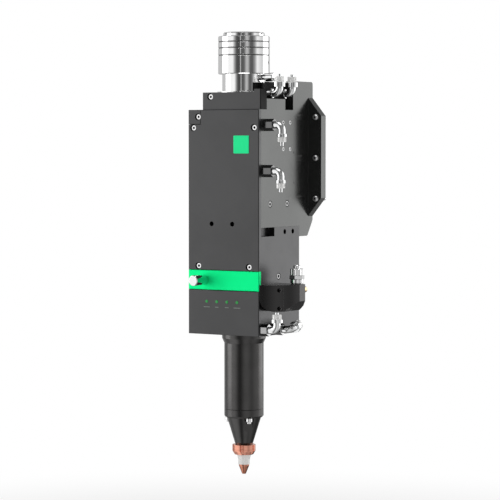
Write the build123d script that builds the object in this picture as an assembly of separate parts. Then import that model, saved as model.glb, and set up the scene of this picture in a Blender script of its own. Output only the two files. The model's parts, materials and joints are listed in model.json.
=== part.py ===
# Laser cutting head with a window drawer, a motor-driven focusing lens and a side mounting bracket.
# Millimetres. +Z runs up the beam axis from the nozzle's tip, -Y is the front, +X is the bracket's side.
from build123d import *
from math import hypot
import os

# Clearances between pieces
slide_fit = 0.25  # around flat sliding pieces
turn_fit = 0.05  # radial, shafts and screws in their own holes
seat_gap = 0.3  # between a moving face and the face it runs beside
past = 1.0  # how far a cut runs past the face it opens

# Nozzle stack along the beam axis, from the tip upwards
nozzle_length = 12.2
ceramic_length = 12.6
lock_ring_length = 12.3
cone_length = 34.8
ring_length = 10.6
tube_length = 82.8
collar_length = 12.5
orifice_r = 1.25
orifice_length = 4.0
nozzle_r = 6.6
nozzle_tip_r = 2.3
nozzle_rim = 1.6
nozzle_stub_r = 5.5
nozzle_stub_length = 6.0
nozzle_inner_r = 4.2
ceramic_r = 7.2
ceramic_neck_r = 8.8
ceramic_flange_r = 10.4
ceramic_flange = 4.5
ceramic_lip = 4.0
ceramic_channel_r = 4.2
lock_ring_r = 14.6
lock_ring_foot_r = 11.8
lock_ring_taper = 4.5
flute_count = 6
flute_r = 2.0
flute_reach = 2.2
flute_turn = 22.0
cone_top_r = 21.5
cone_bottom_r = 10.75
cone_spigot_r = 10.45
cone_spigot = 3.5
cone_throat_r = 5.5
cone_mouth_r = 10.5
pocket_width = 12.5
pocket_length = 23.5
pocket_floor_r = 16.0
pocket_turns = (51.0, -69.0)
connector_r = 4.05
connector_length = 4.2
connector_tip_r = 2.4
connector_tip = 2.4
tube_r = 24.7
tube_bore_r = 18.0
ring_chamfer = 2.0
seam_chamfer = 0.35
collar_r = 27.5
collar_taper = 6.0
collar_spigot_r = 22.0
collar_spigot = 5.0

# Housing, covers and blocks
housing_width = 104.0
housing_depth = 94.0
housing_height = 278.2
cover_t = 5.0
cover_edge = 1.0
panel_height = 55.3
panel_gap = 0.2
drawer_height = 24.3
cavity_width = 54.0
cavity_wall = 12.0
cavity_floor = 86.0
cavity_roof = 8.7
beam_bore_r = 17.0
corner_width = 18.5
corner_height = 18.0
top_block_height = 21.4
top_block_inset = 18.5
land_width = 10.0
land_depth = 13.1
land_height = 3.6
land_plate_t = 1.5
water_block_t = 12.0
water_block_height = 34.3
water_block_front = -18.8
recess_length = 30.8
recess_height = 11.0
recess_depth = 8.0
access_hole_r = 3.0
access_hole_depth = 12.0
access_hole_xs = (-17.2, 13.1)
access_hole_drop = 140.8
accessory_hole_r = 3.1
accessory_hole_depth = 10.0
accessory_hole_pitch = 19.0
accessory_hole_y = 22.4
accessory_hole_drop = 6.1

# Indicator lights in the lower panel
light_count = 4
light_r = 1.9
light_pitch = 14.9
light_first_x = -24.6
light_rise = 41.1
light_length = 6.0
light_proud = 0.6
light_dome = 0.8  # rounded share of what stands proud

# Cap screws, as head radius, head height, shank radius and shank length
cap_head_r = 3.5
cap_head = 2.4
cap_head_edge = 0.5
cap_shank_r = 2.0
cap_shank = 9.0
cap_socket_r = 1.7
cap_socket = 1.6
cap_recess_r = 4.2
cap_recess = 4.0
small_head_r = 2.5
small_head = 1.2
small_shank_r = 1.25
small_shank = 6.0
small_socket_r = 1.2
small_socket = 0.8
cover_screw_edge_top = 22.3
cover_screw_x_top = 44.7
cover_screw_x_low = 37.3
cover_screw_rise = 4.9
corner_screw_x = -37.6
corner_screw_drop = 8.7
top_screw_x = -22.7
top_screw_rise = 16.0
rear_screw_edge = 8.0
rear_screw_rows = 3

# Mounting bracket at the right side
bracket_t = 10.0
bracket_foot_drop = 144.9
bracket_tail_drop = 13.0
bracket_shoulder = 13.3
bracket_top = 36.0
bracket_rear = 79.5
bracket_tail_y = 66.8
bracket_tail_slope = 19.8
bracket_notch_front = 14.0
bracket_notch_back = 32.4
bracket_corner_r = 3.5
flange_t = 11.0
flange_reach = 19.2
flange_over = 16.0
flange_length = 149.2
flange_end = 23.0
flange_bolt_x = 63.5
flange_bolt_drop = 1.2
flange_bolt_pitch = 51.3
flange_bolt_r = 2.5
flange_shank_r = 3.0
flange_bolt_head_r = 3.8
flange_bolt_head = 3.6
flange_bolt_proud = 10.0
flange_bolt_socket_r = 1.3
flange_bolt_socket = 1.8
flange_bolt_edge = 2.4
bracket_screw_ys = (-20.9, 18.6)
bracket_screw_drop = 116.2
small_screw_ys = (9.4, 25.5)
small_screw_drops = (48.6, 15.6)
pilot_r = 0.9
pilot_depth = 4.0
pilot_places = ((33.5, 52.8), (34.0, 90.3), (62.8, 88.8))  # along Y, below the housing's top
side_screw_y = -1.4
side_screw_rise = 72.3

# Fibre connector receiver
receiver_flange_r = 33.2
receiver_flange = 1.4
neck_r = 27.0
neck_length = 21.5
barrel_r = 25.75
sleeve_r = 32.1
sleeve_length = 47.2
rim_length = 4.9
rim_notch_width = 5.0
rim_notch_depth = 3.2
rim_notch_count = 3
rim_notch_turn = -27.0
rim_notch_reach = 5.0
rim_chamfer = 1.2
fibre_bore_r = 12.5
fibre_bore_length = 62.0
receiver_lower_r = 10.0
window_seat_r = 12.0
receiver_window_t = 3.0
receiver_window_lift = 4.0
sleeve_groove_rises = (22.6, 31.6, 39.2)
sleeve_groove = 1.8
sleeve_groove_depth = 0.5
sleeve_edge = 0.8
sleeve_pin_r = 2.0
sleeve_pin_depth = 2.5
sleeve_pin_rise = 14.5
sleeve_pin_turn = 104.0
port_r = 3.4
port_cap_r = 5.4
port_cap_length = 11.0
port_cap_edge = 0.7
port_socket = 1.0
port_reach = 44.0
port_drop = 3.9

# Gas manifold on the lower right
manifold_inset = 1.0
manifold_reach = 37.4
manifold_depth = 33.6
manifold_bulge = 5.8
manifold_facet = 13.0
manifold_back = 7.0
manifold_height = 32.5
manifold_rise = 31.0
manifold_low_chamfer = 12.0
manifold_front_round = 17.5
manifold_seam_depth = 15.5
manifold_screw_out = 22.0
manifold_screw_low = 3.9
manifold_screw_high = 6.3
manifold_channel_r = 3.0
gas_fitting_x = 79.0
gas_fitting_y = -2.0
gas_fitting_length = 23.3
gas_fitting_r = 8.3
gas_collar_r = 9.5
gas_collar_rise = 6.0
gas_collar = 5.0
gas_mouth_r = 4.4
gas_mouth = 4.2
gas_bore_r = 3.2
plug_r = 3.9
plug_edge = 0.6
plug_length = 9.5
plug_thread_r = 2.5
plug_thread = 5.0
plug_x = 79.3
plug_rise = 25.1

# Collimator and focusing drive inside the housing
collimator_r = 17.0
collimator_length = 37.0
collimator_flange_r = 20.0
collimator_flange = 3.0
collimator_bore_r = 12.5
collimating_lens_r = 14.0
collimating_lens_t = 8.0
collimating_lens_seat = 8.0
lens_bulge = 1.6
lens_rest = 0.02
motor_inset = 9.0
motor_r = 8.0
motor_length = 36.0
motor_edge = 1.0
motor_shaft_r = 2.0
motor_shaft_length = 8.0
rod_r = 2.5
rod_x = 19.0
rod_inset = 11.0
lead_screw_r = 3.0
coupling_r = 5.5
coupling_length = 12.0
bearing_r = 7.0
bearing_t = 6.0
carriage_ring_r = 21.0
carriage_height = 15.0
carriage_rise = 151.0
carriage_bar_width = 48.0
carriage_bar_y = 18.0
carriage_bar_gap = 4.0
carriage_bore_r = 13.0
focusing_lens_r = 15.0
focusing_lens_t = 9.0
lens_retainer_t = 3.0

# Window drawer
tray_width = 50.0
tray_height = 14.5
tray_wall = 9.0
tray_edge = 2.0
window_clear_r = 16.0
window_r = 18.4
window_t = 4.0
seal_t = 1.5
seal_lift = 4.0
retainer_t = 3.0
retainer_slot = 3.0
knob_r = 6.5
knob_length = 23.7
knob_x = -29.0
knob_shank_r = 2.5
knob_shank_depth = 12.0
knob_edge = 1.0

# Elbow fittings
stud_thread_r = 4.0
stud_thread = 4.6
spigot_r = 3.0
spigot_length = 6.0
elbow_bend_r = 7.0
elbow_r = 4.6
nut_flutes = 8
nut_flute_r = 0.9
nut_flute_depth = 1.1
nut_core_r = 2.8
leg_bore_r = 1.5

# Heights of the stack
ceramic_z = nozzle_length
lock_ring_z = ceramic_z + ceramic_length
cone_z = lock_ring_z + lock_ring_length
ring_z = cone_z + cone_length
tube_z = ring_z + ring_length
collar_z = tube_z + tube_length
housing_z = collar_z + collar_length
housing_top = housing_z + housing_height
block_top = housing_top + top_block_height
drawer_z = housing_z + panel_height + panel_gap
cover_z = drawer_z + drawer_height + panel_gap
sleeve_z = block_top + receiver_flange + neck_length
receiver_top = sleeve_z + sleeve_length + rim_length

# Faces of the housing
side_x = housing_width / 2
front_y = -housing_depth / 2
rear_y = housing_depth / 2
body_front = front_y + cover_t
body_rear = rear_y - cover_t
cavity_back = rear_y - cavity_wall
motor_y = cavity_back - motor_inset
rod_y = cavity_back - rod_inset
tray_back = rear_y - tray_wall
bracket_x = side_x - bracket_t
bracket_foot = housing_top - bracket_foot_drop
flange_high = housing_top + flange_over
flange_low = flange_high - flange_length
accessory_z = bracket_foot - accessory_hole_drop
cavity_z = housing_z + cavity_floor
cavity_top = housing_top - cavity_roof
drawer_mid = drawer_z + drawer_height / 2
water_block_x = bracket_x - water_block_t
block_left = -side_x + top_block_inset
land_back = body_front + land_depth
manifold_front = front_y + manifold_inset
manifold_seam_y = manifold_front + manifold_seam_depth

# Each fitting: the wall it stands on, its place, reach to its leg, the leg's turn, and its leg's sizes
slim_leg = dict(
    entry=3.2, collar_r=6.0, collar_at=11.1, nut_r=5.4, nut_at=14.8, tip_r=2.25, tip_at=20.9, end=25.7
)
stout_leg = dict(
    entry=1.6, collar_r=7.2, collar_at=8.2, nut_r=5.5, nut_at=14.0, tip_r=2.25, tip_at=20.8, end=23.8
)
short_leg = dict(
    entry=3.9, collar_r=7.2, collar_at=9.6, nut_r=5.8, nut_at=13.8, tip_r=2.25, tip_at=19.8, end=22.3
)
fittings = {
    "upper_side": dict(wall=side_x, y=-32.3, z=housing_top - 19.1, reach=23.9, turn=180.0, leg=slim_leg),
    "lower_side": dict(wall=side_x, y=-35.0, z=housing_top - 75.4, reach=23.9, turn=180.0, leg=slim_leg),
    "front_top": dict(wall=bracket_x, y=-12.5, z=housing_top + 19.8, reach=17.9, turn=0.0, leg=stout_leg),
    "rear_top": dict(wall=bracket_x, y=16.9, z=housing_top + 19.8, reach=17.9, turn=0.0, leg=stout_leg),
    "front_bottom": dict(wall=side_x, y=-38.0, z=housing_z + 8.0, reach=20.5, turn=0.0, leg=short_leg),
    "rear_bottom": dict(wall=side_x, y=-8.5, z=housing_z + 7.5, reach=22.0, turn=-75.0, leg=short_leg),
}
hex_across = {"front_top": 10.0, "rear_top": 10.0}
hex_standard = 13.0


def box(x0, x1, y0, y1, z0, z1):
    middle = Location(((x0 + x1) / 2, (y0 + y1) / 2, (z0 + z1) / 2))
    return middle * Box(abs(x1 - x0), abs(y1 - y0), abs(z1 - z0))


def rod_z(r, z0, z1, x=0.0, y=0.0):
    return Location((x, y, (z0 + z1) / 2)) * Cylinder(r, z1 - z0)


def rod_y_axis(r, y0, y1, x, z):
    return Location((x, (y0 + y1) / 2, z), (90, 0, 0)) * Cylinder(r, y1 - y0)


def rod_x_axis(r, x0, x1, y, z):
    return Location(((x0 + x1) / 2, y, z), (0, 90, 0)) * Cylinder(r, x1 - x0)


def turned(points):
    # A solid turned about the beam axis from half-section points of radius and height
    face = make_face(Plane.XZ * Polyline(*points, close=True))
    return revolve(face, Axis.Z, 360)


def around(count, start, make):
    # Copies about the beam axis; a turn of 0 faces the front and 90 faces the bracket's side
    return [Rotation(0, 0, start + k * 360 / count) * make for k in range(count)]


def cut_all(solid, tools):
    for tool in tools:
        solid -= tool
    return solid


def nozzle():
    body = turned([
        (orifice_r, 0), (nozzle_tip_r, 0), (nozzle_r, nozzle_length - nozzle_rim),
        (nozzle_r, nozzle_length), (nozzle_stub_r, nozzle_length),
        (nozzle_stub_r, nozzle_length + nozzle_stub_length),
        (nozzle_inner_r, nozzle_length + nozzle_stub_length), (orifice_r, orifice_length),
    ])
    return body


def ceramic_ring():
    lip_z = lock_ring_z + ceramic_lip
    top = lip_z + ceramic_flange
    hole_r = nozzle_stub_r + turn_fit
    hole_top = nozzle_length + nozzle_stub_length + seat_gap
    return turned([
        (hole_r, ceramic_z), (ceramic_r, ceramic_z), (ceramic_r, ceramic_z + ceramic_length / 2),
        (ceramic_neck_r, lock_ring_z), (ceramic_neck_r, lip_z), (ceramic_flange_r, lip_z),
        (ceramic_flange_r, top), (ceramic_channel_r, top), (ceramic_channel_r, hole_top),
        (hole_r, hole_top),
    ])


def lock_ring():
    lip_z = lock_ring_z + ceramic_lip
    body = turned([
        (ceramic_neck_r + turn_fit, lock_ring_z), (lock_ring_foot_r, lock_ring_z),
        (lock_ring_r, lock_ring_z + lock_ring_taper), (lock_ring_r, cone_z),
        (cone_spigot_r + turn_fit, cone_z), (cone_spigot_r + turn_fit, lip_z),
        (ceramic_neck_r + turn_fit, lip_z),
    ])
    flute = rod_z(flute_r, lock_ring_z - past, cone_z + past, y=-(lock_ring_r + flute_r - flute_reach))
    return cut_all(body, around(flute_count, flute_turn, flute))


def sensor_cone():
    foot = cone_z - cone_spigot
    body = turned([
        (cone_throat_r, foot), (cone_spigot_r, foot), (cone_spigot_r, cone_z), (cone_bottom_r, cone_z),
        (cone_top_r, ring_z), (cone_mouth_r, ring_z),
    ])
    slot_z = ring_z - pocket_length + pocket_width / 2
    slot = box(-pocket_width / 2, pocket_width / 2, -tube_r - past, -pocket_floor_r, slot_z, ring_z + past)
    slot += rod_y_axis(pocket_width / 2, -tube_r - past, -pocket_floor_r, 0, slot_z)
    return cut_all(body, [Rotation(0, 0, turn) * slot for turn in pocket_turns])


def sensor_connectors():
    y = -(pocket_floor_r + connector_r + seat_gap)
    body = rod_z(connector_r, ring_z - connector_length, ring_z, y=y)
    tip = rod_z(connector_tip_r, ring_z - connector_length - connector_tip, ring_z - connector_length, y=y)
    return Compound(children=[Rotation(0, 0, turn) * (body + tip) for turn in pocket_turns])


def tube_ring():
    return turned([
        (tube_bore_r, ring_z), (tube_r - ring_chamfer, ring_z), (tube_r, ring_z + ring_chamfer),
        (tube_r, tube_z - seam_chamfer), (tube_r - seam_chamfer, tube_z), (tube_bore_r, tube_z),
    ])


def nozzle_tube():
    return turned([
        (tube_bore_r, tube_z), (tube_r - seam_chamfer, tube_z), (tube_r, tube_z + seam_chamfer),
        (tube_r, collar_z), (tube_bore_r, collar_z),
    ])


def nozzle_collar():
    return turned([
        (tube_bore_r, collar_z), (tube_r, collar_z), (collar_r, collar_z + collar_taper),
        (collar_r, housing_z), (collar_spigot_r, housing_z), (collar_spigot_r, housing_z + collar_spigot),
        (tube_bore_r, housing_z + collar_spigot),
    ])


def cap_screw():
    # A cap screw along +Z with its seat at 0, head above and shank below
    head = rod_z(cap_head_r, 0, cap_head)
    head = fillet(head.edges().filter_by(GeomType.CIRCLE).sort_by(Axis.Z)[-1], cap_head_edge)
    shank = rod_z(cap_shank_r, -cap_shank, 0)
    hexagon = RegularPolygon(cap_socket_r, 6)
    socket = Location((0, 0, cap_head - cap_socket)) * extrude(hexagon, cap_socket)
    return head + shank - socket


def small_screw():
    head = rod_z(small_head_r, 0, small_head)
    shank = rod_z(small_shank_r, -small_shank, 0)
    hexagon = RegularPolygon(small_socket_r, 6)
    socket = Location((0, 0, small_head - small_socket)) * extrude(hexagon, small_socket)
    return head + shank - socket


def facing_front(solid, x, y, z):
    return Location((x, y, z), (90, 0, 0)) * solid


def facing_rear(solid, x, y, z):
    return Location((x, y, z), (-90, 0, 0)) * solid


def facing_side(solid, x, y, z):
    return Location((x, y, z), (0, 90, 0)) * solid


def front_screw_places():
    # Screws with their seats in the front cover, corner block and top block
    top_z = housing_top - cover_screw_edge_top
    low_z = cover_z + cover_screw_rise
    seat_y = front_y + cap_recess
    places = [(x, seat_y, top_z) for x in (-cover_screw_x_top, cover_screw_x_top)]
    places += [(x, seat_y, low_z) for x in (-cover_screw_x_low, cover_screw_x_low)]
    places.append((corner_screw_x, seat_y, housing_top - corner_screw_drop))
    places.append((top_screw_x, body_front + cap_recess, housing_top + top_screw_rise))
    return places


def rear_screw_places():
    low = housing_z + rear_screw_edge
    high = housing_top - rear_screw_edge
    rows = [low + (high - low) * k / (rear_screw_rows - 1) for k in range(rear_screw_rows)]
    right = bracket_x - rear_screw_edge
    left = -side_x + rear_screw_edge
    return [(x, rear_y - cap_recess, z) for z in rows for x in (left, right)]


def cap_hole():
    # The counterbore above a seat at 0 and the screw's hole below it
    shank = rod_z(cap_shank_r + turn_fit, -cap_shank - seat_gap, cap_recess)
    return shank + rod_z(cap_recess_r, 0, cap_recess + past)


def front_holes():
    return [facing_front(cap_hole(), *place) for place in front_screw_places()]


def rear_holes():
    return [facing_rear(cap_hole(), *place) for place in rear_screw_places()]


def bracket_screw_places():
    z = housing_top - bracket_screw_drop
    return [(side_x - cap_recess, y, z) for y in bracket_screw_ys]


def side_screw_place():
    return (side_x - cap_recess, side_screw_y, housing_z + side_screw_rise)


def small_screw_places():
    seat_x = side_x - small_head
    return [(seat_x, y, housing_top - drop) for y in small_screw_ys for drop in small_screw_drops]


def small_hole():
    shank = rod_z(small_shank_r + turn_fit, -small_shank - seat_gap, small_head)
    return shank + rod_z(small_head_r + turn_fit, 0, small_head + past)


def side_holes():
    holes = [facing_side(cap_hole(), *place) for place in bracket_screw_places() + [side_screw_place()]]
    holes += [facing_side(small_hole(), *place) for place in small_screw_places()]
    return holes


def stud_holes():
    holes = []
    for fitting in fittings.values():
        start = fitting["wall"] - stud_thread - seat_gap
        end = fitting["wall"] + past
        holes.append(rod_x_axis(stud_thread_r + turn_fit, start, end, fitting["y"], fitting["z"]))
    return holes


def drawer_slot():
    half = tray_width / 2 + slide_fit
    low = drawer_mid - tray_height / 2 - slide_fit
    high = drawer_mid + tray_height / 2 + slide_fit
    return box(-half, half, body_front - past, tray_back + seat_gap, low, high)


def knob_hole():
    depth = knob_shank_depth + seat_gap
    return rod_y_axis(knob_shank_r + turn_fit, front_y - past, body_front + depth, knob_x, drawer_mid)


def access_holes():
    z = housing_top - access_hole_drop
    floor_y = front_y + access_hole_depth
    return [rod_y_axis(access_hole_r, front_y - past, floor_y, x, z) for x in access_hole_xs]


def light_holes():
    z = housing_z + light_rise
    xs = [light_first_x + k * light_pitch for k in range(light_count)]
    floor_y = front_y + light_length + seat_gap
    return [rod_y_axis(light_r + turn_fit, front_y - past, floor_y, x, z) for x in xs]


def gas_channel():
    z = manifold_channel_z()
    return rod_x_axis(manifold_channel_r, 0, side_x + past, gas_fitting_y, z)


def main_housing():
    body = box(-side_x, side_x, body_front, body_rear, housing_z, housing_top)
    cavity_half = cavity_width / 2
    low_bore = rod_z(beam_bore_r, housing_z - past, cavity_z + past)
    spigot = rod_z(collar_spigot_r + turn_fit, housing_z - past, housing_z + collar_spigot + seat_gap)
    barrel = rod_z(collimator_r + turn_fit, cavity_top - past, housing_top + past)
    flange_z = housing_top - collimator_flange
    cuts = [
        box(bracket_x, side_x + past, body_front - past, body_rear + past, bracket_foot, housing_top + past),
        box(-cavity_half, cavity_half, body_front - past, cavity_back, cavity_z, cavity_top),
        low_bore, spigot, barrel,
        rod_z(collimator_flange_r + turn_fit, flange_z, housing_top + past),
        rod_z(bearing_r + turn_fit, cavity_z - bearing_t, cavity_z + past, y=motor_y),
        drawer_slot(), knob_hole(), gas_channel(),
        box(side_x - recess_depth, side_x + past, body_front - past, body_front + recess_length,
            bracket_foot - recess_height, bracket_foot),
    ]
    for shift in (-0.5, 0.5):
        y = accessory_hole_y + shift * accessory_hole_pitch
        floor_x = side_x - accessory_hole_depth
        cuts.append(rod_x_axis(accessory_hole_r, floor_x, side_x + past, y, accessory_z))
    cuts += access_holes() + light_holes() + front_holes() + rear_holes() + side_holes() + stud_holes()
    return cut_all(body, cuts)


def rounded_plate(x0, x1, z0, z1, y0, y1):
    # A front plate whose outer edges are eased
    plate = box(x0, x1, y0, y1, z0, z1)
    front = plate.faces().sort_by(Axis.Y)[0]
    return fillet(front.edges(), cover_edge)


def front_cover():
    plate = rounded_plate(-side_x, side_x, cover_z, housing_top, front_y, body_front)
    corner = box(-side_x - past, -side_x + corner_width + panel_gap, front_y - past, body_front + past,
                 housing_top - corner_height - panel_gap, housing_top + past)
    return cut_all(plate - corner, access_holes() + front_holes())


def corner_block():
    plate = rounded_plate(-side_x, -side_x + corner_width, housing_top - corner_height, housing_top,
                          front_y, body_front)
    return cut_all(plate, front_holes())


def lower_panel():
    plate = rounded_plate(-side_x, side_x, housing_z, housing_z + panel_height, front_y, body_front)
    return cut_all(plate, light_holes())


def rear_cover():
    plate = box(-side_x, side_x, body_rear, rear_y, housing_z, housing_top)
    plate -= box(bracket_x, side_x + past, body_rear - past, rear_y + past, bracket_foot, housing_top + past)
    return cut_all(plate, rear_holes())


def indicator_lights():
    z = housing_z + light_rise
    back = front_y + light_length
    lights = []
    for k in range(light_count):
        x = light_first_x + k * light_pitch
        light = rod_y_axis(light_r, front_y - light_proud, back, x, z)
        lights.append(fillet(light.edges().sort_by(Axis.Y)[0], light_proud * light_dome))
    return Compound(children=lights)


def top_block():
    body = box(block_left, water_block_x, body_front, body_rear, housing_top, block_top)
    land_x = side_x - land_plate_t
    body += box(water_block_x, land_x, body_front, land_back, housing_top, block_top)
    body += box(side_x - land_width, land_x, body_front, land_back, block_top, block_top + land_height)
    body -= rod_z(receiver_lower_r, housing_top - past, block_top + past)
    return cut_all(body, front_holes())


def land_plate():
    top = block_top + land_height
    return box(side_x - land_plate_t, side_x, body_front, land_back, housing_top, top)


def water_block():
    # The inner front corner runs back beside the round receiver neck
    outline = Polyline(
        (bracket_x, water_block_front), (bracket_x, rear_y), (water_block_x, rear_y),
        (water_block_x, 0), close=True)
    body = extrude(Location((0, 0, housing_top)) * make_face(outline), water_block_height, dir=(0, 0, 1))
    return cut_all(body, stud_holes())


def pilot_holes():
    holes = []
    for y, drop in pilot_places:
        z = housing_top - drop
        holes.append(rod_x_axis(pilot_r, side_x - pilot_depth, side_x + past, y, z))
    return holes


def mounting_bracket():
    foot = bracket_foot
    tail = foot - bracket_tail_drop
    shoulder = housing_top + bracket_shoulder
    top = housing_top + bracket_top
    outline = [
        (body_front, foot), (body_front, housing_top), (land_back, housing_top), (land_back, shoulder),
        (bracket_notch_front, shoulder), (bracket_notch_front, housing_top),
        (bracket_notch_back, housing_top), (bracket_notch_back, top), (bracket_rear, top),
        (bracket_rear, tail + bracket_tail_slope), (bracket_tail_y, tail), (rear_y, tail), (rear_y, foot),
    ]
    face = make_face(Plane.YZ * Polyline(*outline, close=True))
    plate = Location((bracket_x, 0, 0)) * extrude(face, bracket_t, dir=(1, 0, 0))
    rounded = plate.edges().filter_by(Axis.X)
    rounded = [e for e in rounded if e.center().Y > rear_y + bracket_corner_r]
    plate = fillet(rounded, bracket_corner_r)
    out_x = side_x + flange_reach
    wing = Polyline(
        (bracket_x, flange_low), (side_x, flange_low), (out_x, flange_low + flange_end),
        (out_x, flange_high - flange_end), (side_x, flange_high), (bracket_x, flange_high), close=True)
    flange = extrude(make_face(Plane.XZ * wing), flange_t, dir=(0, -1, 0))
    flange = Location((0, bracket_rear, 0)) * flange
    cuts = side_holes() + stud_holes() + front_holes() + pilot_holes()
    for x, z in flange_bolt_places():
        cuts.append(rod_y_axis(flange_shank_r + turn_fit, rear_y, bracket_rear + past, x, z))
    return cut_all(plate + flange, cuts)


def flange_bolt_places():
    middle = (flange_low + flange_high) / 2 - flange_bolt_drop
    return [(flange_bolt_x, middle + k * flange_bolt_pitch) for k in (-1, 0, 1)]


def flange_bolts():
    seat_y = bracket_rear - flange_t
    bolts = []
    for x, z in flange_bolt_places():
        head = rod_y_axis(flange_bolt_head_r, seat_y - flange_bolt_head, seat_y, x, z)
        head = fillet(head.edges().sort_by(Axis.Y)[0], flange_bolt_edge)
        shank = rod_y_axis(flange_shank_r, seat_y, bracket_rear, x, z)
        thread = rod_y_axis(flange_bolt_r, bracket_rear, bracket_rear + flange_bolt_proud, x, z)
        socket = extrude(RegularPolygon(flange_bolt_socket_r, 6), flange_bolt_socket)
        floor_y = seat_y - flange_bolt_head + flange_bolt_socket
        socket = Location((x, floor_y, z), (90, 0, 0)) * socket
        bolts.append(head + shank + thread - socket)
    return Compound(children=bolts)


def cover_screws():
    screws = [facing_front(cap_screw(), *place) for place in front_screw_places()]
    screws += [facing_rear(cap_screw(), *place) for place in rear_screw_places()]
    return Compound(children=screws)


def side_screws():
    places = bracket_screw_places() + [side_screw_place()]
    screws = [facing_side(cap_screw(), *place) for place in places]
    screws += [facing_side(small_screw(), *place) for place in small_screw_places()]
    return Compound(children=screws)


def receiver_body():
    flange_top = block_top + receiver_flange
    window_z = block_top + receiver_window_lift
    bore_z = receiver_top - fibre_bore_length
    rim_z = receiver_top - rim_chamfer
    body = turned([
        (window_seat_r, block_top), (receiver_flange_r, block_top), (receiver_flange_r, flange_top),
        (neck_r, flange_top), (neck_r, sleeve_z), (barrel_r, sleeve_z), (barrel_r, rim_z),
        (barrel_r - rim_chamfer, receiver_top), (fibre_bore_r + rim_chamfer, receiver_top),
        (fibre_bore_r, rim_z), (fibre_bore_r, bore_z), (receiver_lower_r, bore_z),
        (receiver_lower_r, window_z), (window_seat_r, window_z),
    ])
    notch = box(-rim_notch_width / 2, rim_notch_width / 2, -barrel_r - past, -barrel_r + rim_notch_reach,
                receiver_top - rim_notch_depth, receiver_top + past)
    body = cut_all(body, around(rim_notch_count, rim_notch_turn, notch))
    reach = receiver_flange_r + past
    body -= box(water_block_x, reach, -reach, reach, block_top - past, flange_top)
    z = sleeve_z - port_drop
    root = (fibre_bore_r + neck_r) / 2
    return body + rod_x_axis(port_r, root, port_reach - port_cap_length + port_socket, 0, z)


def receiver_port():
    z = sleeve_z - port_drop
    start = port_reach - port_cap_length
    cap = rod_x_axis(port_cap_r, start, port_reach, 0, z)
    cap = chamfer(cap.edges().filter_by(GeomType.CIRCLE), port_cap_edge)
    return cap - rod_x_axis(port_r + turn_fit, start - past, start + port_socket + seat_gap, 0, z)


def receiver_window():
    window_z = block_top + receiver_window_lift
    return rod_z(window_seat_r - turn_fit, window_z - receiver_window_t, window_z)


def locking_sleeve():
    low = sleeve_z + seat_gap
    high = sleeve_z + sleeve_length
    bore = barrel_r + turn_fit
    points = [(bore, low), (sleeve_r - sleeve_edge, low), (sleeve_r, low + sleeve_edge)]
    for rise in sleeve_groove_rises:
        z = sleeve_z + rise
        inner = sleeve_r - sleeve_groove_depth
        points += [(sleeve_r, z), (inner, z), (inner, z + sleeve_groove), (sleeve_r, z + sleeve_groove)]
    points += [(sleeve_r, high - sleeve_edge), (sleeve_r - sleeve_edge, high), (bore, high)]
    pin_z = sleeve_z + sleeve_pin_rise
    hole = rod_y_axis(sleeve_pin_r, -sleeve_r - past, -sleeve_r + sleeve_pin_depth, 0, pin_z)
    return turned(points) - Rotation(0, 0, sleeve_pin_turn) * hole


def lens(r, t, seat_r, seat_z):
    # A double-convex lens whose lower dome rests on the inner edge of a seat
    edge = t - 2 * lens_bulge
    dome_r = (r ** 2 + lens_bulge ** 2) / (2 * lens_bulge)
    low = seat_z + lens_drop(r, seat_r)
    high = low + edge
    body = rod_z(r, low - lens_bulge, high + lens_bulge)
    body &= Location((0, 0, high + lens_bulge - dome_r)) * Sphere(dome_r)
    return body & Location((0, 0, low - lens_bulge + dome_r)) * Sphere(dome_r)


def lens_drop(r, seat_r):
    # How far a dome stands out from the lens's edge at the radius of its seat
    return lens_bulge * (1 - (seat_r / r) ** 2) + lens_rest


def lens_stack(r, t, seat_r):
    # From the seat below a lens to the ring above it
    return t - 2 * lens_bulge + 2 * lens_drop(r, seat_r)


def collimator_barrel():
    low = housing_top - collimator_length
    seat = low + collimating_lens_seat
    bore = collimating_lens_r + turn_fit
    flange_z = housing_top - collimator_flange
    return turned([
        (collimator_bore_r, low), (collimator_r, low), (collimator_r, flange_z),
        (collimator_flange_r, flange_z), (collimator_flange_r, housing_top), (bore, housing_top),
        (bore, seat), (collimator_bore_r, seat),
    ])


def collimating_lens():
    seat = housing_top - collimator_length + collimating_lens_seat
    return lens(collimating_lens_r, collimating_lens_t, collimator_bore_r, seat)


def collimator_retainer():
    seat = housing_top - collimator_length + collimating_lens_seat
    low = seat + lens_stack(collimating_lens_r, collimating_lens_t, collimator_bore_r)
    ring = rod_z(collimating_lens_r, low, low + lens_retainer_t)
    return ring - rod_z(collimator_bore_r, low - past, low + lens_retainer_t + past)


def focus_motor():
    low = cavity_top - motor_length
    body = rod_z(motor_r, low, cavity_top, y=motor_y)
    body = fillet(body.edges().filter_by(GeomType.CIRCLE).sort_by(Axis.Z)[0], motor_edge)
    bore = rod_z(motor_shaft_r + turn_fit, low - past, low + motor_shaft_length + seat_gap, y=motor_y)
    return body - bore


def guide_rods():
    return Compound(children=[rod_z(rod_r, cavity_z, cavity_top, x, rod_y) for x in (-rod_x, rod_x)])


def screw_bearing():
    ring = rod_z(bearing_r, cavity_z - bearing_t, cavity_z, y=motor_y)
    return ring - rod_z(lead_screw_r + turn_fit, cavity_z - bearing_t - past, cavity_z + past, y=motor_y)


def lead_screw():
    top = cavity_top - motor_length - seat_gap
    body = rod_z(lead_screw_r, cavity_z - bearing_t + seat_gap, top, y=motor_y)
    return body + rod_z(motor_shaft_r, top, top + motor_shaft_length, y=motor_y)


def screw_coupling():
    top = cavity_top - motor_length - seat_gap
    ring = rod_z(coupling_r, top - coupling_length, top, y=motor_y)
    return ring - rod_z(lead_screw_r, top - coupling_length - past, top + past, y=motor_y)


def carriage_z():
    return housing_z + carriage_rise


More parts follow.
